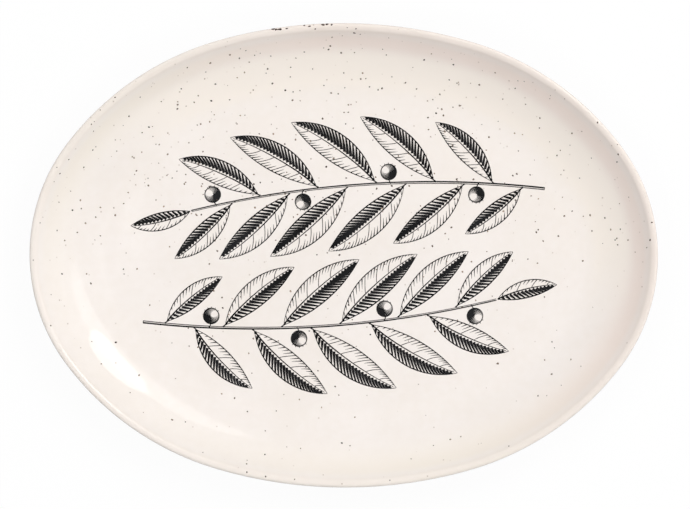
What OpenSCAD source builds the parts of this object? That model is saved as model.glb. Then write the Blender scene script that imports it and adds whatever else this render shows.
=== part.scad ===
// Oval coupe serving platter in speckled stoneware: one pressed clay body, a coat of cream
// glaze over its face and outside, a second field of glaze inside its foot ring, and two
// printed sprigs fired on to the flat of the well.
// It stands on its bare foot ring at z = 0, with the middle of the oval on the Z axis.

/* [Plan] */
// Overall length over the rim
platter_l = 318; // [270:1:400]
// Overall width over the rim
platter_w = 235; // [200:1:280]

/* [Section] */
// Overall height, from the foot ring to the top of the rim
platter_h = 27; // [24:0.5:34]
// Rounding on the outside of the rim, glaze included
rim_edge = 1.5; // [1:0.1:2.5]
// Wider rounding where the inside of the rim turns over into the wall
rim_roll = 3.3; // [2.5:0.1:6]
// Width of the curved wall in plan, from the rim to the flat of the well
wall_run = 40; // [32:1:46]
// Thickness of the flat floor, both glazes included
floor_t = 6; // [4:0.5:9]

/* [Foot ring] */
// Height of the foot ring below the underside
foot_h = 3.5; // [2.6:0.1:6]
// Width of the foot ring
foot_w = 7; // [5:0.5:12]
// Flat underside between the turn of the wall and the fillet of the foot ring
foot_set = 4; // [1:0.5:12]
// Fillet between the underside and the foot ring
foot_fillet = 1.5; // [0.5:0.1:2]
// Rounding on the two standing edges
foot_edge = 1; // [0.4:0.1:1.2]

/* [Glaze] */
// Thickness of the fired glaze
glaze_t = 0.4; // [0.2:0.05:0.8]
// Height of the bare clay left on the foot ring
glaze_line = 1.2; // [1:0.1:1.6]

/* [Printed sprigs] */
// Thickness of the fired print
print_t = 0.1; // [0.05:0.05:0.2]
// Length of a stem along its curve
sprig_l = 182; // [130:1:200]
// Radius of the stem's gentle curve
stem_r = 520; // [300:10:900]
// Width of the stem
stem_w = 1.6; // [1:0.1:3]
// Length of the longest leaf
leaf_l = 52; // [34:1:56]
// Width of the longest leaf
leaf_w = 15; // [8:0.5:16]
// How far the middle of a leaf bows to one side
leaf_bow = 2.6; // [0:0.1:3.5]
// Angle of a leaf from the middle of the stem
leaf_angle = 38; // [30:1:45]
// How much wider leaves open at the foot of the stem, and closer at its tip, in degrees
leaf_close = 7; // [0:1:12]
// Share of its length that a leaf loses at either end of the stem
leaf_taper = 0.4; // [0:0.05:0.6]
// Distance along the stem from a leaf to the next, on the other side
leaf_pitch = 15; // [13.5:0.5:22]
// Diameter of a berry
berry_d = 8.5; // [5:0.5:10]
// Clear space between the stem and what grows from it
stem_gap = 0.7; // [0.3:0.1:1.5]
// Clear space between the two sprigs
sprig_gap = 7; // [2:0.5:20]
// How far back each sprig is set along its own length
sprig_set = 14; // [0:1:20]
// Angle of each sprig from the platter's length
sprig_tilt = 4; // [0:1:8]

/* [Hidden] */
clay_colour = "#d3bfa3";
glaze_colour = "#f6ede4";
print_colour = "#26272b";
$fn = 180;

// The plan is an oval of three radii, whose arcs meet at one and at two times the angle of a
// 3-4-5 triangle. Half sizes are kept to a hundredth, so all centres and radii are short numbers.
half_l = round(platter_l * 50) / 100;
half_w = round(platter_w * 50) / 100;
spread = half_l - half_w;
joint_1 = [0.8, 0.6];
joint_2 = [0.28, 0.96];
end_r = half_l - 1.6 * spread;
end_c = [half_l - end_r, 0];
shoulder_r = half_l - 0.3 * spread;
shoulder_c = end_c - (shoulder_r - end_r) * joint_1;
side_r = half_w + 2.7 * spread;
side_c = [0, half_w - side_r];

// Each arc of the oval: its centre, its radius, its two end directions, and where it repeats
quarters = [[1, 1], [-1, 1], [-1, -1], [1, -1]];
oval_arcs = [
    [end_c, end_r, [joint_1.x, -joint_1.y], joint_1, [[1, 1], [-1, 1]]],
    [shoulder_c, shoulder_r, joint_1, joint_2, quarters],
    [side_c, side_r, joint_2, [-joint_2.x, joint_2.y], [[1, 1], [1, -1]]]
];

// Reach of the wedges that part the arcs: past the whole platter, and a round length at any size
far_step = 50;
far = 2 * far_step * ceil(platter_l / far_step);

// Each half ring begins a quarter turn before the first joint, so that every arc lies well within it
ring_start = atan2(joint_1.y, joint_1.x) - 90;

// Levels and tangent arcs of the section, where x = 0 is the outline of the rim
floor_z = foot_h + floor_t;
edge_c = [-rim_edge, platter_h - rim_edge];
roll_c = [-rim_edge, platter_h - rim_roll];
wall_reach = wall_run - rim_edge;
inner_rise = roll_c.y - floor_z;
inner_r = (wall_reach ^ 2 + inner_rise ^ 2 - rim_roll ^ 2) / (2 * (inner_rise + rim_roll));
inner_c = [-wall_run, floor_z + inner_r];
inner_end = atan2(roll_c.y - inner_c.y, wall_reach);
outer_rise = edge_c.y - foot_h;
outer_r = (wall_reach ^ 2 + outer_rise ^ 2 - rim_edge ^ 2) / (2 * (outer_rise - rim_edge));
outer_c = [-wall_run, foot_h + outer_r];
outer_end = atan2(edge_c.y - outer_c.y, wall_reach);
wall_step = 4;
edge_step = 12;
same_point = 0.001;

// Foot ring, whose fillets and edges are limited by its own height
foot_side = 0.3;
fillet_r = min(foot_fillet, foot_h - glaze_line - foot_side);
edge_r = min(foot_edge, glaze_line);
foot_out = wall_run + foot_set + fillet_r + glaze_t;
foot_in = foot_out + foot_w;

// The section is carried round the oval to here, and a flat slab that laps it fills the middle
core_land = 4;
core_lap = 2;
core = foot_in + glaze_t + fillet_r + core_land;

// Points along an arc, from one angle to another
function arc(c, r, from, to, step) =
    let (count = max(1, ceil(abs(to - from) / step)))
    [for (i = [0 : count]) let (a = from + (to - from) * i / count) c + r * [cos(a), sin(a)]];

function reversed(points) = [for (i = [len(points) - 1 : -1 : 0]) points[i]];

// Points without those that repeat the one before
function distinct(points) =
    [for (i = [0 : len(points) - 1]) if (i == 0 || norm(points[i] - points[i - 1]) > same_point) points[i]];

// Well, wall, rim, outside and outer side of the foot, at a depth below the finished surface
function face_line(depth) = concat(
    [[-core, floor_z - depth]],
    arc(inner_c, inner_r + depth, -90, inner_end, wall_step),
    arc(roll_c, rim_roll - depth, inner_end + 180, 90, edge_step),
    arc(edge_c, rim_edge - depth, 90, 0, edge_step),
    arc(edge_c, rim_edge - depth, 0, outer_end, edge_step),
    arc(outer_c, outer_r - depth, outer_end, -90, wall_step),
    arc([-foot_out + glaze_t + fillet_r, foot_h - fillet_r], fillet_r + depth, 90, 180, edge_step),
    [[-foot_out + glaze_t - depth, glaze_line]]
);

// Inner side of the foot and the underside within it, at a depth below the finished surface
function base_line(depth) = concat(
    [[-foot_in - glaze_t + depth, glaze_line]],
    arc([-foot_in - glaze_t - fillet_r, foot_h - fillet_r], fillet_r + depth, 0, 90, edge_step),
    [[-core, foot_h + depth]]
);

// Bare clay that the platter stands on
function foot_line() = concat(
    arc([-foot_out - edge_r, edge_r], edge_r, 0, -90, edge_step),
    arc([-foot_in + edge_r, edge_r], edge_r, -90, -180, edge_step)
);

// Part of the plan that belongs to one arc, from its centre outwards
module wedge(one) translate(one[0]) polygon([[0, 0], far * one[2], far * one[3]]);

// Copies mirrored across the middle
module mirrored(ways) for (way = ways) scale([way.x, way.y, 1]) children();

// Flat oval at a distance in from the outline of the rim, mirrored from one quarter
module oval(inset)
    mirrored(quarters)
        intersection() {
            square(far);
            for (one = oval_arcs)
                intersection() {
                    translate(one[0]) circle(one[1] - inset);
                    wedge(one);
                }
        }

// Carries a section round the oval, as parts of rings that meet at the joints of the arcs
module around_oval(section)
    for (one = oval_arcs)
        mirrored(one[4])
            intersection() {
                translate(one[0])
                    rotate(ring_start)
                        rotate_extrude(angle = 180) translate([one[1], 0]) polygon(distinct(section));
                translate([0, 0, -platter_h]) linear_extrude(3 * platter_h) wedge(one);
            }

// Flat middle of a layer
module core_slab(bottom, top) translate([0, 0, bottom]) linear_extrude(top - bottom) oval(core - core_lap);

// The pressed clay: floor, wall, rim and foot ring in one
module stoneware_body()
    color(clay_colour) {
        around_oval(concat(face_line(glaze_t), foot_line(), base_line(glaze_t)));
        core_slab(foot_h + glaze_t, floor_z - glaze_t);
    }

// Glaze over the well, wall and rim and down the outside to the foot ring
module face_glaze()
    color(glaze_colour) {
        around_oval(concat(face_line(0), reversed(face_line(glaze_t))));
        core_slab(floor_z - glaze_t, floor_z);
    }

// Glaze on the underside, within the foot ring
module base_glaze()
    color(glaze_colour) {
        around_oval(concat(base_line(0), reversed(base_line(glaze_t))));
        core_slab(foot_h, foot_h + glaze_t);
    }

// Circle through both ends of a chord along +X, standing a rise above it
module chord_circle(chord, rise) {
    r = (chord ^ 2 / 4 + rise ^ 2) / (2 * rise);
    translate([chord / 2, rise - r]) circle(r);
}

// Pointed leaf from the origin along +X
module leaf(length, width, bow)
    intersection() {
        chord_circle(length, width / 2 + bow);
        mirror([0, 1]) chord_circle(length, width / 2 - bow);
    }

// Place on the stem's curve, a distance from its middle, with +X along the stem
module on_stem(along) translate([0, stem_r]) rotate(along / stem_r * 180 / PI) translate([0, -stem_r]) children();

module stem() {
    half_turn = sprig_l / stem_r * 90 / PI;
    past = 2 * stem_r;
    translate([0, stem_r])
        intersection() {
            difference() {
                circle(stem_r + stem_w / 2);
                circle(stem_r - stem_w / 2);
            }
            polygon([[0, 0], past * [-sin(half_turn), -cos(half_turn)], past * [sin(half_turn), -cos(half_turn)]]);
        }
}

// Leaves are largest at the middle of the stem
function leaf_share(along) = 1 - leaf_taper * (2 * along / sprig_l) ^ 2;

// One sprig: its stem, leaves on either side by turns, berries between them and a leaf at its tip
module sprig() {
    leaf_count = floor(sprig_l / leaf_pitch) - 1;
    first_leaf = 0.8 * leaf_pitch - sprig_l / 2;
    tip_share = leaf_share(sprig_l / 2);
    side_step = stem_w / 2 + stem_gap;
    stem();
    on_stem(sprig_l / 2 + stem_gap) leaf(leaf_l * tip_share, leaf_w * tip_share, leaf_bow * tip_share);
    for (i = [0 : leaf_count - 1]) {
        along = first_leaf + leaf_pitch * i;
        hand = i % 2 == 0 ? 1 : -1;
        share = leaf_share(along);
        on_stem(along)
            scale([1, hand])
                translate([0, side_step])
                    rotate(leaf_angle - leaf_close * 2 * along / sprig_l)
                        leaf(leaf_l * share, leaf_w * share, leaf_bow * share);
        if (i % 3 == 1)
            on_stem(along + leaf_pitch / 2)
                translate([0, -hand * (side_step + berry_d / 2)]) circle(d = berry_d);
    }
}

// A sprig on the flat of the well, trimmed where the wall begins
module sprig_print(turn) {
    reach = leaf_l * sin(leaf_angle);
    color(print_colour)
        translate([0, 0, floor_z])
            linear_extrude(print_t)
                intersection() {
                    rotate(turn + sprig_tilt) translate([-sprig_set, -reach - sprig_gap / 2]) sprig();
                    oval(wall_run);
                }
}

module upper_sprig_print() sprig_print(180);
module lower_sprig_print() sprig_print(0);

stoneware_body();
face_glaze();
base_glaze();
upper_sprig_print();
lower_sprig_print();
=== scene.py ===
import bpy
import mathutils
import numpy as np
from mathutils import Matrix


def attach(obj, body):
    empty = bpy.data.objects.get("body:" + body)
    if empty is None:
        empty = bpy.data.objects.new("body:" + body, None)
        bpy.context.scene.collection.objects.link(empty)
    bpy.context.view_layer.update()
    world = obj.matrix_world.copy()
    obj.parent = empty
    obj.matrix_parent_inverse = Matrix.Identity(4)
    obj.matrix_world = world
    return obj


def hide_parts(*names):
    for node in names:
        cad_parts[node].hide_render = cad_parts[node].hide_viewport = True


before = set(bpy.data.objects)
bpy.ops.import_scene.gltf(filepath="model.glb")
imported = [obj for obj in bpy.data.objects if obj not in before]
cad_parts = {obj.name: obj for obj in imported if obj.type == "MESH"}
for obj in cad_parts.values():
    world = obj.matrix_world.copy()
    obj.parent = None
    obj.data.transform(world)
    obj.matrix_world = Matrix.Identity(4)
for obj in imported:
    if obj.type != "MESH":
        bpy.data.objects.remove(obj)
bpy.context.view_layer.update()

# Stoneware body. One oval of buff clay, pressed over a mould with its floor, curved wall, rounded
# rim and foot ring in one. It is bare on the foot ring, which stands on the kiln shelf, and lies
# under glaze everywhere else. Sizes are in millimetres, as the mould maker has them.
mm = 0.001
half_length, half_width = 159.0, 117.5
rim_height, floor_level, foot_height = 27.0, 9.5, 3.5
rim_edge, rim_roll, wall_run, core_inset = 1.5, 3.3, 40.0, 58.8
foot_outside, foot_inside, foot_edge, foot_fillet = 45.9, 52.9, 1.0, 1.5
glaze_thick, bare_height = 0.4, 1.2

# Each quarter of the outline is three arcs, for the end, the shoulder and the side of the oval. Their
# centres are set off by shares of the spread, so that they meet smoothly at the two joints.
spread = half_length - half_width
arc_joints = np.arctan2([0.6, 0.96], [0.8, 0.28])
arc_radii = np.array([half_length - 1.6 * spread, half_length - 0.3 * spread, half_width + 2.7 * spread])
arc_centres = np.array([[1.6, 0.0], [0.56, -0.78], [0.0, -2.7]]) * spread
end_steps, shoulder_steps, side_steps = 24, 38, 27
quarter = np.concatenate([
    np.linspace(0.0, arc_joints[0], end_steps + 1)[:-1],
    np.linspace(arc_joints[0], arc_joints[1], shoulder_steps + 1)[:-1],
    np.linspace(arc_joints[1], np.pi / 2, side_steps + 1),
])
facing = np.concatenate([
    quarter[:-1], np.pi - quarter[:0:-1], np.pi + quarter[:-1], 2 * np.pi - quarter[:0:-1]
])

# The wall is one arc on its face and one on its back, each tangent to the floor and to the rim.
edge_at = [-rim_edge, rim_height - rim_edge]
roll_at = [-rim_edge, rim_height - rim_roll]
wall_reach = wall_run - rim_edge
bowl_rise, back_rise = roll_at[1] - floor_level, edge_at[1] - foot_height
bowl_radius = (wall_reach**2 + bowl_rise**2 - rim_roll**2) / (2 * (bowl_rise + rim_roll))
back_radius = (wall_reach**2 + back_rise**2 - rim_edge**2) / (2 * (back_rise - rim_edge))
bowl_at = [-wall_run, floor_level + bowl_radius]
back_at = [-wall_run, foot_height + back_radius]
bowl_end = np.degrees(np.arctan2(roll_at[1] - bowl_at[1], wall_reach))
back_end = np.degrees(np.arctan2(edge_at[1] - back_at[1], wall_reach))


def arc(centre, radius, start, end, count):
    turn = np.radians(np.linspace(start, end, count + 1))
    return np.stack([centre[0] + radius * np.cos(turn), centre[1] + radius * np.sin(turn)], -1)


def face_line(depth, fine):
    """Well, wall, rim, outside and foot fillet in section, at a depth below the finished surface."""
    fillet_at = [-foot_outside + glaze_thick + foot_fillet, foot_height - foot_fillet]
    level = floor_level - depth
    return np.concatenate([
        np.linspace([-core_inset, level], [-wall_run, level], 2 * fine + 1)[:-1],
        arc(bowl_at, bowl_radius + depth, -90, bowl_end, 12 * fine),
        arc(roll_at, rim_roll - depth, bowl_end + 180, 90, 4 * fine)[1:],
        arc(edge_at, rim_edge - depth, 90, back_end, 6 * fine)[1:],
        arc(back_at, back_radius - depth, back_end, -90, 10 * fine)[1:],
        arc(fillet_at, foot_fillet + depth, 90, 180, 3 * fine),
        [[-foot_outside + glaze_thick - depth, bare_height]],
    ])


def base_line(depth, fine):
    """Inner side of the foot ring and the underside within it, at a depth below the finished surface."""
    fillet_at = [-foot_inside - glaze_thick - foot_fillet, foot_height - foot_fillet]
    return np.concatenate([
        [[-foot_inside - glaze_thick + depth, bare_height]],
        arc(fillet_at, foot_fillet + depth, 0, 90, 3 * fine),
        [[-core_inset, foot_height + depth]],
    ])


def rim_arc(facing):
    """Centre and radius of the rim's arc on the side that faces each direction."""
    along, across = np.cos(facing), np.sin(facing)
    which = np.searchsorted(arc_joints, np.arctan2(np.abs(across), np.abs(along)))
    return arc_centres[which] * np.sign(np.stack([along, across], -1)), arc_radii[which]


def carried(section):
    """A section carried round the oval: one row of points for each of its points."""
    centre, radius = rim_arc(facing)
    out = np.stack([np.cos(facing), np.sin(facing)], -1)
    plan = centre + (radius + section[:, :1])[..., None] * out
    return np.dstack([plan, np.broadcast_to(section[:, 1:], plan.shape[:2])])


def middle(row, count):
    """Smaller and smaller copies of a row, from near the middle of the oval out to it."""
    rows = row * (np.arange(1, count + 1) / (count + 1))[:, None, None]
    rows[..., 2] = row[:, 2]
    return rows


def new_piece(name, points, faces):
    mesh = bpy.data.meshes.new(name)
    mesh.from_pydata((np.asarray(points) * mm).tolist(), [], faces)
    mesh.shade_smooth()
    piece = bpy.data.objects.new(name, mesh)
    bpy.context.scene.collection.objects.link(piece)
    return piece


def oval_piece(name, rows):
    """A closed mesh through rows of points, shut by a point in the middle of its first and last rows."""
    count, around = rows.shape[:2]
    here = np.arange(count * around).reshape(count, around)
    beside = np.roll(here, -1, axis=1)
    walls = np.stack([here[:-1], here[1:], beside[1:], beside[:-1]], -1).reshape(-1, 4).tolist()
    top, bottom = count * around, count * around + 1
    walls += [(top, a, b) for a, b in zip(here[0].tolist(), beside[0].tolist())]
    walls += [(bottom, b, a) for a, b in zip(here[-1].tolist(), beside[-1].tolist())]
    return new_piece(name, np.concatenate([rows.reshape(-1, 3), rows[[0, -1]].mean(axis=1)]), walls)


class Tone:
    """A value or colour in a finish. Sums and products of tones add the nodes that work them out."""

    def __init__(self, tree, socket=None):
        self.tree = tree
        self.socket = socket

    def node(self, kind, settings, sockets, out=0):
        made = self.tree.nodes.new(kind)
        for name, value in settings.items():
            setattr(made, name, value)
        for name, value in sockets.items():
            if isinstance(value, Tone):
                self.tree.links.new(value.socket, made.inputs[name])
            else:
                made.inputs[name].default_value = value
        return Tone(self.tree, made.outputs[out] if made.outputs else None)

    def also(self, out):
        """Another output of the node that this tone comes from."""
        return Tone(self.tree, self.socket.node.outputs[out])

    def maths(self, operation, first, second):
        return self.node("ShaderNodeMath", {"operation": operation}, {0: first, 1: second})

    def __add__(self, other):
        return self.maths("ADD", self, other)

    def __radd__(self, other):
        return self.maths("ADD", other, self)

    def __sub__(self, other):
        return self.maths("SUBTRACT", self, other)

    def __rsub__(self, other):
        return self.maths("SUBTRACT", other, self)

    def __mul__(self, other):
        return self.maths("MULTIPLY", self, other)

    def __rmul__(self, other):
        return self.maths("MULTIPLY", other, self)

    def __truediv__(self, other):
        return self.maths("DIVIDE", self, other)

    def __rtruediv__(self, other):
        return self.maths("DIVIDE", other, self)

    def __lt__(self, other):
        return self.maths("LESS_THAN", self, other)

    def __or__(self, other):
        """The greater of two values."""
        return self.maths("MAXIMUM", self, other)

    def rise(self, low, high):
        """0 up to low and 1 from high on, with a soft step between. It falls where high is the lesser."""
        return self.node(
            "ShaderNodeMapRange", {"interpolation_type": "SMOOTHSTEP"},
            {"Value": self, "From Min": low, "From Max": high},
        )

    def mix(self, none, full):
        """A colour that goes from one to another as this value goes from 0 to 1."""
        return self.node("ShaderNodeMix", {"data_type": "RGBA"}, {0: self, 6: none, 7: full}, 2)

    def grain(self, scale, detail):
        """Cloudy noise at this place, with a number of features to the metre."""
        return self.node("ShaderNodeTexNoise", {}, {
            "Vector": self, "Scale": scale, "Detail": detail, "Roughness": 0.55
        })

    def dots(self, scale):
        """Distance to the nearest of scattered points at this place, in shares of their spacing."""
        return self.node("ShaderNodeTexVoronoi", {}, {"Vector": self, "Scale": scale}, "Distance")


def paint(red, green, blue):
    """A colour from its screen values out of 255."""
    screen = np.array([red, green, blue]) / 255
    return (*np.where(screen > 0.04045, ((screen + 0.055) / 1.055) ** 2.4, screen / 12.92).tolist(), 1.0)


def new_finish(name):
    material = bpy.data.materials.new(name)
    material.use_nodes = True
    material.node_tree.nodes.clear()
    return material, Tone(material.node_tree)


def fired(tone, sockets):
    """The finish's own surface, from the values and tones of its shader."""
    surface = tone.node("ShaderNodeBsdfPrincipled", {}, sockets)
    tone.node("ShaderNodeOutputMaterial", {}, {"Surface": surface})


clay_fine, foot_steps, clay_rings = 2, 7, 8
clay_rows = carried(np.concatenate([
    face_line(glaze_thick, clay_fine),
    arc([-foot_outside - foot_edge, foot_edge], foot_edge, 0, -90, foot_steps),
    arc([-foot_inside + foot_edge, foot_edge], foot_edge, -90, -180, foot_steps),
    base_line(glaze_thick, clay_fine),
]))
clay_body = oval_piece("clay_body", np.concatenate([
    middle(clay_rows[0], clay_rings), clay_rows, middle(clay_rows[-1], clay_rings)[::-1]
]))

dark_buff, pale_buff = paint(196, 171, 142), paint(222, 203, 178)
toast_brown, iron_brown = paint(186, 146, 108), paint(112, 82, 58)
clay_finish, clay = new_finish("bare_stoneware")
place = clay.node("ShaderNodeTexCoord", {}, {}, "Object")
height = clay.node("ShaderNodeSeparateXYZ", {}, {"Vector": place}, "Z")
sand = place.grain(1500.0, 3.0)
cloud = place.grain(60.0, 3.0)
iron = place.dots(420.0)
iron_kind = clay.node("ShaderNodeSeparateColor", {}, {"Color": iron.also("Color")}, "Red")
iron_spot = (iron / (0.08 + 0.2 * iron_kind)).rise(1.0, 0.6)
toasted = height.rise(0.5 * bare_height * mm, bare_height * mm)
clay_colour = (0.55 * sand + 0.45 * cloud).rise(0.32, 0.7).mix(dark_buff, pale_buff)
clay_colour = (0.5 * toasted).mix(clay_colour, toast_brown)
clay_colour = (0.75 * iron_spot).mix(clay_colour, iron_brown)
fired(clay, {
    "Base Color": clay_colour,
    "Roughness": 0.74 + 0.2 * sand,
    "Specular IOR Level": 0.3,
    "Normal": clay.node("ShaderNodeBump", {}, {"Strength": 0.6, "Distance": 0.1 * mm, "Height": sand}),
})
clay_body.data.materials.append(clay_finish)
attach(clay_body, "root")
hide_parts("stoneware_body")

# Face glaze. A coat of cream glaze, poured over the well, wall and rim and down the outside, and
# wiped back at the foot ring to a small rolled bead. It fires glossy, in faint waves, and takes up
# iron from the clay. Its colour also carries painted shade, darker and warmer up the wall and rosy
# on the shaded upper right, and painted light, paler at the foot of that shaded wall.
hand = np.random.default_rng(5)
wave_count, wave_share = 8, 0.0005
wave_length = hand.uniform(26, 80, wave_count)
wave_heading = hand.uniform(0, 2 * np.pi, wave_count)
wave_start = hand.uniform(0, 2 * np.pi, wave_count)
still_rim, wave_fade = 3.0, 9.0
bead_radius, bead_in, bead_up, bead_steps = 0.34, 0.18, 0.3, 8
wipe_sway = 0.1
glaze_fine, back_fine, well_rings, back_rings = 4, 1, 20, 4
glaze_ior = 1.52


def glaze_wave(plan):
    """How far the poured glaze stands above its even level, in the flat of the well."""
    along = plan[..., :1] * np.cos(wave_heading) + plan[..., 1:2] * np.sin(wave_heading)
    return (wave_share * wave_length * np.sin(2 * np.pi * along / wave_length + wave_start)).sum(-1)


def wiped(rows):
    """Rows near the wiped edge, moved up and down along the foot ring as a sponge leaves them."""
    still = foot_height - glaze_thick
    near = np.clip((still - rows[..., 2]) / (still - bare_height), 0, 1)
    sway = np.sin(5 * facing + 0.7) + 0.7 * np.sin(13 * facing + 2.1) + 0.5 * np.sin(29 * facing)
    rows[..., 2] += wipe_sway * near * (1 + sway)
    return rows


bead_at = [-foot_outside + bead_in, bare_height + bead_up]
glaze_line = np.concatenate([
    face_line(0.0, glaze_fine)[:-1], arc(bead_at, bead_radius, 15, -100, bead_steps)
])
tangent = np.gradient(glaze_line, axis=0)
tangent /= np.linalg.norm(tangent, axis=1, keepdims=True)
glaze_face = carried(glaze_line)
swell = glaze_wave(glaze_face) * np.clip((-glaze_line[:, :1] - still_rim) / wave_fade, 0, 1)
swell[np.argmax(glaze_line[:, 0]):] = 0
glaze_face[..., 0] -= swell * tangent[:, 1:] * np.cos(facing)
glaze_face[..., 1] -= swell * tangent[:, 1:] * np.sin(facing)
glaze_face[..., 2] += swell * tangent[:, :1]
glaze_face = wiped(glaze_face)
glaze_well = middle(glaze_face[0], well_rings)
glaze_well[..., 2] = floor_level + glaze_wave(glaze_well)
glaze_back = carried(face_line(glaze_thick, back_fine)[::-1])
face_coat = oval_piece("face_glaze_coat", np.concatenate([
    glaze_well, glaze_face, glaze_back, middle(glaze_back[-1], back_rings)[::-1]
]))

# The palest cream on this line is painted light for the foot of the shaded wall.
cream, pale_cream, painted_light_cream = paint(247, 239, 232), paint(251, 244, 239), paint(255, 246, 236)
# The first two colours on this line are painted shade for the wall: creamy on the left, rosy on the shaded
# upper right.
painted_shade_cream, painted_shade_rose, rim_buff = paint(248, 239, 226), paint(248, 231, 221), paint(243, 231, 219)
soft_brown = paint(150, 124, 100)
glaze_finish, glaze = new_finish("cream_glaze")
place = glaze.node("ShaderNodeTexCoord", {}, {}, "Object")
height = glaze.node("ShaderNodeSeparateXYZ", {}, {"Vector": place}, "Z")
lengthways, across = height.also("X"), height.also("Y")
# Leans toward the upper right, where the wall lies in shade. It steers the painted shade.
shade_side = lengthways + across
cloud = place.grain(24.0, 4.0)
curdle = place.grain(230.0, 3.0)
peel = place.grain(330.0, 2.0) + 3.0 * place.grain(75.0, 1.0)
thin_rim = height.rise(24.5 * mm, 26.8 * mm)
# Painted shade: the wall's glaze is darker and warmer from its foot up, less near the rim, least on the
# lit lower left.
painted_wall_shade = height.rise(11.2 * mm, 21.2 * mm) * (1 - 0.5 * height.rise(22.0 * mm, 24.8 * mm))
painted_wall_shade = painted_wall_shade * (0.15 + 0.85 * shade_side.rise(-210 * mm, -60 * mm))
# Painted light: the lower part of the shaded far wall, toward the right, is made paler.
painted_wall_light = height.rise(9.0 * mm, 11.2 * mm) * height.rise(19.8 * mm, 15.6 * mm)
painted_wall_light = painted_wall_light * (across + 0.35 * lengthways).rise(0.0, 60 * mm)
speck = place.dots(250.0)
speck_kind = glaze.node("ShaderNodeSeparateColor", {}, {"Color": speck.also("Color")}, "Red")
speck_here = speck_kind.also("Green") < (0.22 + 0.72 * across.rise(-60 * mm, 60 * mm))
soft_speck = (speck / (0.07 + 0.1 * speck_kind)).rise(1.0, 0.3) * speck_here
# The painted shade turns rosy toward the shaded upper right.
painted_shade_colour = shade_side.rise(-60 * mm, 130 * mm).mix(painted_shade_cream, painted_shade_rose)
glaze_colour = (0.65 * cloud + 0.35 * curdle).rise(0.3, 0.7).mix(cream, pale_cream)
# The wall's painted shade is mixed in here.
glaze_colour = (0.72 * painted_wall_shade).mix(glaze_colour, painted_shade_colour)
# The painted light at the foot of the shaded wall is mixed in here.
glaze_colour = (0.9 * painted_wall_light).mix(glaze_colour, painted_light_cream)
glaze_colour = (0.25 * thin_rim).mix(glaze_colour, rim_buff)
glaze_colour = (soft_speck * (0.2 + 0.35 * speck_kind.also("Blue"))).mix(glaze_colour, soft_brown)
fired(glaze, {
    "Base Color": glaze_colour,
    "Roughness": 0.03 + 0.036 * cloud,
    "IOR": glaze_ior,
    "Normal": glaze.node("ShaderNodeBump", {}, {"Strength": 1.0, "Distance": 0.012 * mm, "Height": peel}),
})
face_coat.data.materials.append(glaze_finish)
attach(face_coat, "root")
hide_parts("face_glaze")

# Base glaze. A second field of the same glaze, brushed inside the foot ring so that the underside
# wipes clean. It is wiped back from the ring in the same way, and carries the same iron specks.
base_fine, base_rings = 3, 10
bead_at = [-foot_inside - bead_in, bare_height + bead_up]
base_under = wiped(carried(np.concatenate([
    arc(bead_at, bead_radius, -80, -195, bead_steps), base_line(0.0, base_fine)[1:]
])))
base_upper = carried(base_line(glaze_thick, back_fine)[::-1])
base_coat = oval_piece("base_glaze_coat", np.concatenate([
    middle(base_upper[0], back_rings), base_upper, base_under, middle(base_under[-1], base_rings)[::-1]
]))
base_coat.data.materials.append(glaze_finish)
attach(base_coat, "root")
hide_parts("base_glaze")

# Printed sprigs. Two pulls of one engraved transfer in black ceramic ink, laid head to tail on the
# flat of the well and fired into the glaze. Each is a stem with leaves by turns on either side,
# shaded by cut lines that swell to black on one half of the leaf, and berries between them.
sprig_length, stem_radius, stem_width = 182.0, 520.0, 1.6
leaf_length, leaf_width, leaf_bow, leaf_angle = 52.0, 15.0, 2.6, 38.0
leaf_close, leaf_taper, leaf_pitch, first_leaf = 7.0, 0.4, 15.0, 0.8
berry_radius, stem_gap, sprig_gap, sprig_set, sprig_tilt = 4.25, 0.7, 7.0, 14.0, 4.0
side_step = stem_width / 2 + stem_gap
line_pitch, vein_every, vein_width = 2.05, 4, 0.34
cut_lift, edge_lift, rib_lift, ink_sink = 0.045, 0.06, 0.07, 0.06
cut = np.random.default_rng(21)
strokes = []


def turned(points, degrees):
    turn = np.radians(degrees)
    x, y = np.asarray(points, float).T
    return np.stack([np.cos(turn) * x - np.sin(turn) * y, np.sin(turn) * x + np.cos(turn) * y], -1)


def on_stem(along, points):
    """Points beside the stem's curve, a distance along it from its middle."""
    stem_centre = np.array([0, stem_radius])
    return turned(points - stem_centre, np.degrees(along / stem_radius)) + stem_centre


def leaf_at(length, width, bow, along, across):
    """A place in a leaf: along from foot to tip, and across from -1 to 1 between its margins."""
    margins = []
    for rise in (width / 2 + bow, width / 2 - bow):
        radius = (length**2 / 4 + rise**2) / (2 * rise)
        margins.append(np.sqrt(radius**2 - (length * (along - 0.5)) ** 2) - radius + rise)
    rib = (margins[0] - margins[1]) / 2
    return np.stack([length * along, rib + across * (margins[0] + margins[1]) / 2], -1)


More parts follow.
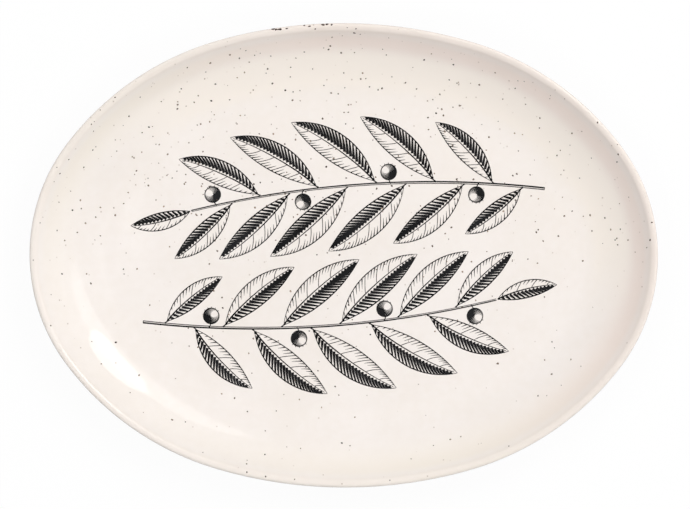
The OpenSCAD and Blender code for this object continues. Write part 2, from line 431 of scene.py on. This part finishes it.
def engrave_leaf(share, dark, laid):
    """Cut the lines of one leaf, with its dark half on one side, and lay them in their place."""
    length, width, bow = leaf_length * share, leaf_width * share, leaf_bow * share
    count = int(round(length / line_pitch))
    pitch = length / count
    margin = 0.98

    def cut_line(foot, across, side, line):
        """One line that leaves the rib at its foot and sweeps forward to the leaf's margin."""
        half = width / 2 * (1 - (2 * foot - 1) ** 2)
        along = np.minimum(foot + 0.95 * half / length * across**1.2, 0.985)
        strokes.append((laid(leaf_at(length, width, bow, along, side * across)), line, cut_lift))

    for i in range(count):
        foot = 0.015 + 0.95 * i / count
        across = np.linspace(0.13, margin, 7)
        swelled = 0.74 * pitch * (1.02 - (0.55 + 0.1 * cut.random()) * across**1.6)
        cut_line(foot, across, dark, swelled)
        vein = i % vein_every == 1
        inner = 0.07 if vein else 0.42 + 0.22 * cut.random()
        across = np.linspace(inner, margin, 6)
        tapered = vein_width if vein else 0.1 + 0.5 * (across - inner) / (margin - inner)
        cut_line(foot, across, -dark, tapered + 0 * across)
    run = (1 - np.cos(np.linspace(0, np.pi, 33))) / 2
    for side, line in ((dark, 0.62), (-dark, 0.5)):
        edge = line * (0.35 + 0.65 * np.sin(np.pi * run) ** 0.5)
        strokes.append((laid(leaf_at(length, width, bow, run, side * 0.97)), edge, edge_lift))
    rib = np.linspace(0.0, 0.97, 17)
    strokes.append((laid(leaf_at(length, width, bow, rib, -0.02 * dark)), 0.8 - 0.55 * rib, rib_lift))


def engrave_berry(laid):
    """Cut a round berry, black on its shaded side, with the light left on the other."""
    shaded_side, cut_points = 215, 25
    ring = np.radians(np.linspace(0, 360, 37))
    round_line = np.stack([np.cos(ring), np.sin(ring)], -1)
    strokes.append((laid((berry_radius - 0.25) * round_line), 0.5 + 0 * ring, edge_lift))
    for i in range(6):
        radius = berry_radius - 0.75 - 0.58 * i
        reach = 158 - 9 * i
        swept = arc([0, 0], radius, shaded_side - reach, shaded_side + reach, cut_points - 1)
        swelled = 0.1 + 0.52 * np.cos(np.linspace(-1, 1, cut_points) * np.pi / 2) ** 0.7
        strokes.append((laid(swept), swelled, cut_lift))
    for spoke in (-50, -25, 0, 25, 50):
        tip = turned([[berry_radius - 0.5, 0], [berry_radius + 0.55, 0]], 90 + spoke)
        strokes.append((laid(tip), np.array([0.5, 0.2]), rib_lift))


stem_run = np.linspace(-sprig_length / 2, sprig_length / 2, 61)
taper = 1 - 0.3 * np.linspace(0, 1, len(stem_run))
for offset, line in ((0.55, 0.42), (-0.4, 0.8)):
    edge = [on_stem(along, [[0, offset * share]])[0] for along, share in zip(stem_run, taper)]
    strokes.append((np.array(edge), line * taper, edge_lift))
strokes.append((on_stem(stem_run[0], [[0, 0.75], [-0.25, 0], [0, -0.8]]), np.full(3, 0.4), rib_lift))

engrave_leaf(1 - leaf_taper, -1, lambda points: on_stem(sprig_length / 2 + stem_gap, points))
for i in range(int(sprig_length / leaf_pitch) - 1):
    along = (first_leaf + i) * leaf_pitch - sprig_length / 2
    side = 1 if i % 2 == 0 else -1
    angle = leaf_angle - leaf_close * 2 * along / sprig_length

    def beside(points, along=along, side=side, angle=angle):
        return on_stem(along, (turned(points, angle) + [0, side_step]) * [1, side])

    engrave_leaf(1 - leaf_taper * (2 * along / sprig_length) ** 2, -side, beside)
    strokes.append((beside([[-1.6, 0.0], [-0.6, 0.0], [0.6, 0.1]]), np.array([0.9, 0.6, 0.7]), rib_lift))
    if i % 3 == 1:
        berry_place = along + leaf_pitch / 2

        def hung(points, berry_place=berry_place, side=side):
            return on_stem(berry_place, (np.asarray(points) + [0, side_step + berry_radius]) * [1, -side])

        engrave_berry(hung)
        stalk = [[-0.9, -berry_radius - 1.6], [-0.3, -berry_radius - 0.7], [0, -berry_radius + 0.3]]
        strokes.append((hung(stalk), np.array([0.7, 0.5, 0.6]), rib_lift))


def pulled(name, turn):
    """One pull of the engraving, turned on the platter, with each cut line a thin bead of ink."""
    points, faces = [], []
    offset = [-sprig_set, -leaf_length * np.sin(np.radians(leaf_angle)) - sprig_gap / 2]
    for line, width, lift in strokes:
        run = turned(line + offset, turn + sprig_tilt)
        step = np.gradient(run, axis=0)
        side = np.stack([-step[:, 1], step[:, 0]], -1) / np.linalg.norm(step, axis=1, keepdims=True)
        half = (side * width[:, None] / 2)[:, None]
        edges = np.concatenate([run[:, None] + half, run[:, None] - half], axis=1)
        level = floor_level + glaze_wave(edges)[..., None]
        ribbon = np.concatenate([
            np.dstack([edges, level + lift]), np.dstack([edges, level - ink_sink])[:, ::-1]
        ], axis=1)
        first, last = len(points), len(points) + 4 * (len(run) - 1)
        points.extend(ribbon.reshape(-1, 3).tolist())
        for a in range(first, last, 4):
            faces += [(a + k, a + (k + 1) % 4, a + 4 + (k + 1) % 4, a + 4 + k) for k in range(4)]
        faces += [(first, first + 3, first + 2, first + 1), (last, last + 1, last + 2, last + 3)]
    return new_piece(name, points, faces)


ink_black, worn_black, bare_glaze = paint(13, 13, 14), paint(30, 30, 32), paint(205, 198, 190)
ink_finish, ink = new_finish("print_ink")
place = ink.node("ShaderNodeTexCoord", {}, {}, "Object")
pull = place.grain(45.0, 3.0)
pinhole = place.grain(1400.0, 2.0).rise(0.7, 0.78)
ink_colour = pull.rise(0.3, 0.7).mix(ink_black, worn_black)
fired(ink, {
    "Base Color": (0.6 * pinhole).mix(ink_colour, bare_glaze),
    "Roughness": 0.12 + 0.12 * pull,
    "IOR": glaze_ior,
})
for name, node, turn in (
    ("upper_sprig_ink", "upper_sprig_print", 180), ("lower_sprig_ink", "lower_sprig_print", 0)
):
    sprig_ink = pulled(name, turn)
    sprig_ink.data.shade_flat()
    sprig_ink.data.materials.append(ink_finish)
    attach(sprig_ink, "root")
    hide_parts(node)

# Iron specks. Grains of iron in the clay that melt up through the glaze in the firing and stand in
# it as low brown blots. They lie thickest over one side of the well, with a spatter of dark ones on
# the rim's edge, and run on over the outside and the underside.
face_specks, under_specks = 540, 260
rim_clear, back_clear, foot_clear = 1.2, 1.0, 2.6
blot_sides, blot_rise, blot_sink, blot_skirt = 10, 0.05, 0.08, 0.012
shoulder, shoulder_rise, shoulder_dip = 0.62, 0.042, 0.38
grain = np.random.default_rng(33)
blots_points, blots_faces = [], []
whole = face_line(0.0, glaze_fine)
brow = int(np.argmax(whole[:, 0]))
upper, lower = whole[:brow + 1], whole[brow:-1][::-1]


def inset_at(plan):
    """How far in from the rim's outline a place in the plan is."""
    fold = np.abs(plan)
    from_end, from_side = fold - arc_centres[0], fold - arc_centres[2]
    which = 2 if np.arctan2(from_side[1], from_side[0]) > arc_joints[1] else 1
    if np.arctan2(from_end[1], from_end[0]) < arc_joints[0]:
        which = 0
    return arc_radii[which] - np.linalg.norm(fold - arc_centres[which])


def face_height(plan):
    inset = inset_at(plan)
    return np.interp(-inset, upper[:, 0], upper[:, 1]) + glaze_wave(plan) * (inset > still_rim + wave_fade)


def under_height(plan):
    inset = inset_at(plan)
    return foot_height if inset > wall_run else np.interp(-inset, lower[:, 0], lower[:, 1])


def blot(plan, size, stretch, surface, up):
    """A low irregular dome of iron on a surface, stretched along the rim by a share of its size."""
    plan = np.asarray(plan, float)
    inset, reach = inset_at(plan), 0.05
    slope = np.array([
        surface(plan + step) - surface(plan - step) for step in np.diag([reach, reach])
    ]) / (2 * reach)
    normal = np.array([-slope[0], -slope[1], 1.0]) / np.hypot(1, np.linalg.norm(slope))
    along = np.array([-plan[1] / half_width**2, plan[0] / half_length**2, 0])
    along -= normal * (along @ normal)
    along /= np.linalg.norm(along)
    beside = np.cross(normal, along)
    ring = np.linspace(0, 2 * np.pi, blot_sides, endpoint=False) + grain.uniform(0, 1)
    ragged = 0.16 * grain.uniform(-1, 1, blot_sides)
    edge = size / 2 * (1 + ragged + 0.14 * np.sin(2 * ring + grain.uniform(0, 6)))
    flat = np.outer(edge * np.cos(ring) * stretch, along) + np.outer(edge * np.sin(ring), beside)
    bend = 0.0 if inset > 4.0 else 0.5 / (rim_edge if inset < rim_edge else rim_roll)
    dip = bend * (edge * np.sin(ring))[:, None]**2
    centre = np.array([*plan, surface(plan)])
    out = normal * up
    first = len(blots_points)
    last = first + 1 + 2 * blot_sides
    blots_points.append(centre + out * blot_rise)
    blots_points.extend(centre + shoulder * flat + out * (shoulder_rise - shoulder_dip * dip))
    blots_points.extend(centre + flat - out * (blot_skirt + dip))
    blots_points.append(centre - out * (blot_sink + dip.max()))
    for k in range(blot_sides):
        a, b = first + 1 + k, first + 1 + (k + 1) % blot_sides
        below_a, below_b = a + blot_sides, b + blot_sides
        fan = [(first, a, b), (a, below_a, below_b, b), (below_a, last, below_b)]
        blots_faces.extend(fan if up > 0 else [face[::-1] for face in fan])


def on_face(plan):
    """Whether a grain comes up at a place on the face: few on the near side, many on the far one."""
    share = 0.22 + 0.78 / (1 + np.exp(-plan[1] / 12))
    return inset_at(plan) >= rim_clear and grain.random() <= share


def off_foot(plan):
    """Whether a place underneath is clear of the rim and of the foot ring."""
    inset = inset_at(plan)
    return inset >= back_clear and not foot_outside - foot_clear < inset < foot_inside + foot_clear


def scatter(count, wanted, usual, varied, least, most, surface, up):
    """Blots of chance sizes at chance places, where they are wanted."""
    made = 0
    while made < count:
        plan = grain.uniform([-half_length, -half_width], [half_length, half_width])
        if wanted(plan):
            size = float(np.clip(grain.lognormal(usual, varied), least, most))
            blot(plan, size, 1.0, surface, up)
            made += 1


scatter(face_specks, on_face, -0.22, 0.26, 0.4, 1.15, face_height, 1)
for x in [*grain.normal(-33, 4, 7), *grain.normal(-14, 4, 6)]:
    rim_y = arc_centres[2, 1] + np.sqrt(arc_radii[2]**2 - x**2)
    plan = [x, rim_y - grain.uniform(0.35, 1.3)]
    blot(plan, grain.uniform(0.9, 1.5), grain.uniform(1.0, 1.9), face_height, 1)
scatter(under_specks, off_foot, -0.6, 0.38, 0.28, 1.2, under_height, -1)
within = np.minimum(blots_points, [half_length, half_width, rim_height])
iron_specks = new_piece("iron_specks", within, blots_faces)

dark_iron, pale_iron, rust = paint(46, 34, 28), paint(170, 149, 131), paint(66, 42, 34)
speck_finish, burnt = new_finish("iron_speck")
place = burnt.node("ShaderNodeTexCoord", {}, {}, "Object")
height = burnt.node("ShaderNodeSeparateXYZ", {}, {"Vector": place}, "Z")
speck_colour = place.grain(160.0, 1.0).rise(0.28, 0.72).mix(dark_iron, pale_iron)
speck_colour = (0.85 * height.rise(25.4 * mm, 26.2 * mm)).mix(speck_colour, rust)
fired(burnt, {
    "Base Color": speck_colour,
    "Roughness": 0.16 + 0.2 * place.grain(2500.0, 1.0),
    "IOR": glaze_ior,
})
iron_specks.data.materials.append(speck_finish)
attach(iron_specks, "root")

# Table. A plain pale board under the platter. The camera and mirrors see it nearly white, by a glow
# that lights nothing else, and it keeps the platter's soft shadow.
table_reach, white_share, white_glow = 6000, 0.86, 1.1
board_grey, white = paint(165, 165, 165), (1, 1, 1, 1)
corners = np.array([[-1, -1, 0], [1, -1, 0], [1, 1, 0], [-1, 1, 0]])
table = new_piece("table", table_reach * corners, [(0, 1, 2, 3)])
table_finish, board = new_finish("white_board")
ray = board.node("ShaderNodeLightPath", {}, {}, "Is Camera Ray")
seen = ray | ray.also("Is Glossy Ray") | ray.also("Is Transmission Ray")
matt = board.node("ShaderNodeBsdfDiffuse", {}, {"Color": board_grey})
bright = board.node("ShaderNodeEmission", {}, {"Color": white, "Strength": white_glow})
lit = board.node("ShaderNodeMixShader", {}, {0: white_share * seen, 1: matt, 2: bright})
board.node("ShaderNodeOutputMaterial", {}, {"Surface": lit})
table.data.materials.append(table_finish)

# Studio light. A room that is paler at the right and dim at the near left, under a broad panel with
# an opening for the camera. A soft box with a lamp before it stands at the far right, and both show
# as a bright crescent in the glaze opposite.
wall_light, right_light, left_dim, panel_light = 0.33, 0.36, 0.32, 2.09
ceiling_dim, ring_light = 0.94, 1.1
world = bpy.data.worlds.new("white_studio")
bpy.context.scene.world = world
world.use_nodes = True
world.node_tree.nodes.clear()
sky = Tone(world.node_tree)
look = sky.node("ShaderNodeTexCoord", {}, {}, "Generated")
up = sky.node("ShaderNodeSeparateXYZ", {}, {"Vector": look}, "Z")
right, back = up.also("X"), up.also("Y")


def overhead(wide, narrow):
    """1 within a narrow angle of straight up, down to 0 at a wide one."""
    return up.rise(*np.cos(np.radians([wide, narrow])).tolist())


def toward(bearing):
    """How far a direction leans to a bearing, in degrees from the right round to the back."""
    turn = np.radians(bearing)
    return right * np.cos(turn) + back * np.sin(turn) | 0.0


far_right, near_left = toward(20), toward(225)
walls = wall_light + right_light * far_right * far_right - left_dim * near_left * near_left
panel, opening = overhead(52, 40), overhead(28, 24)
room = walls * (1 - panel) + panel_light * (panel - opening)

# The camera and the glaze's mirror see white walls, a dark ceiling and a slim ring round the lens.
ray = sky.node("ShaderNodeLightPath", {}, {}, "Is Camera Ray")
seen = ray | ray.also("Is Glossy Ray") | ray.also("Is Transmission Ray")
ring = overhead(7.6, 7.1) - overhead(6.2, 5.7)
mirrored = 1 - ceiling_dim * overhead(62, 22) + ring_light * ring
backdrop = sky.node("ShaderNodeBackground", {}, {
    "Color": white, "Strength": seen * mirrored + (1 - seen) * room
})
sky.node("ShaderNodeOutputWorld", {}, {"Surface": backdrop})

for name, bearing, lift, twist, distance, high, wide, glow in (
    ("soft_box", 44, 51.5, -8, 3.0, 1.08, 2.75, 1.36),
    ("box_lamp", 46, 43, 0, 2.9, 1.4, 0.82, 3.1),
):
    lamp = bpy.data.lights.new(name, "AREA")
    lamp.shape = "ELLIPSE"
    lamp.size, lamp.size_y = high, wide
    lamp.energy = glow * np.pi * np.pi / 4 * high * wide
    tip, turn = np.radians(90 - lift), np.radians(bearing)
    aimed = mathutils.Euler((0, tip, turn)).to_matrix()
    twisted = mathutils.Matrix.Rotation(np.radians(twist), 3, "Z")
    lamp_stand = bpy.data.objects.new(name, lamp)
    lamp_stand.location = distance * np.array([
        np.sin(tip) * np.cos(turn), np.sin(tip) * np.sin(turn), np.cos(tip)
    ])
    lamp_stand.rotation_euler = (aimed @ twisted).to_euler()
    bpy.context.scene.collection.objects.link(lamp_stand)

# Camera. It looks straight down on the middle of the platter from a boom, with the length of the
# platter across the picture, which is 690 dots wide. Its place is in metres.
picture_dots, dots_per_mm, boom = 690, 1.9765, 1.3
off_right, off_back, camera_turn = 0.0006, 0.0004, 0.0065
rim_away = boom - edge_at[1] * mm
camera = bpy.data.cameras.new("camera")
camera.sensor_width = 36.0
camera.lens = camera.sensor_width * rim_away / (picture_dots / dots_per_mm * mm)
camera_stand = bpy.data.objects.new("camera", camera)
camera_stand.location = (off_right, off_back, boom)
camera_stand.rotation_euler = (0, 0, camera_turn)
bpy.context.scene.collection.objects.link(camera_stand)
bpy.context.scene.camera = camera_stand
bpy.context.scene.view_settings.view_transform = "Standard"
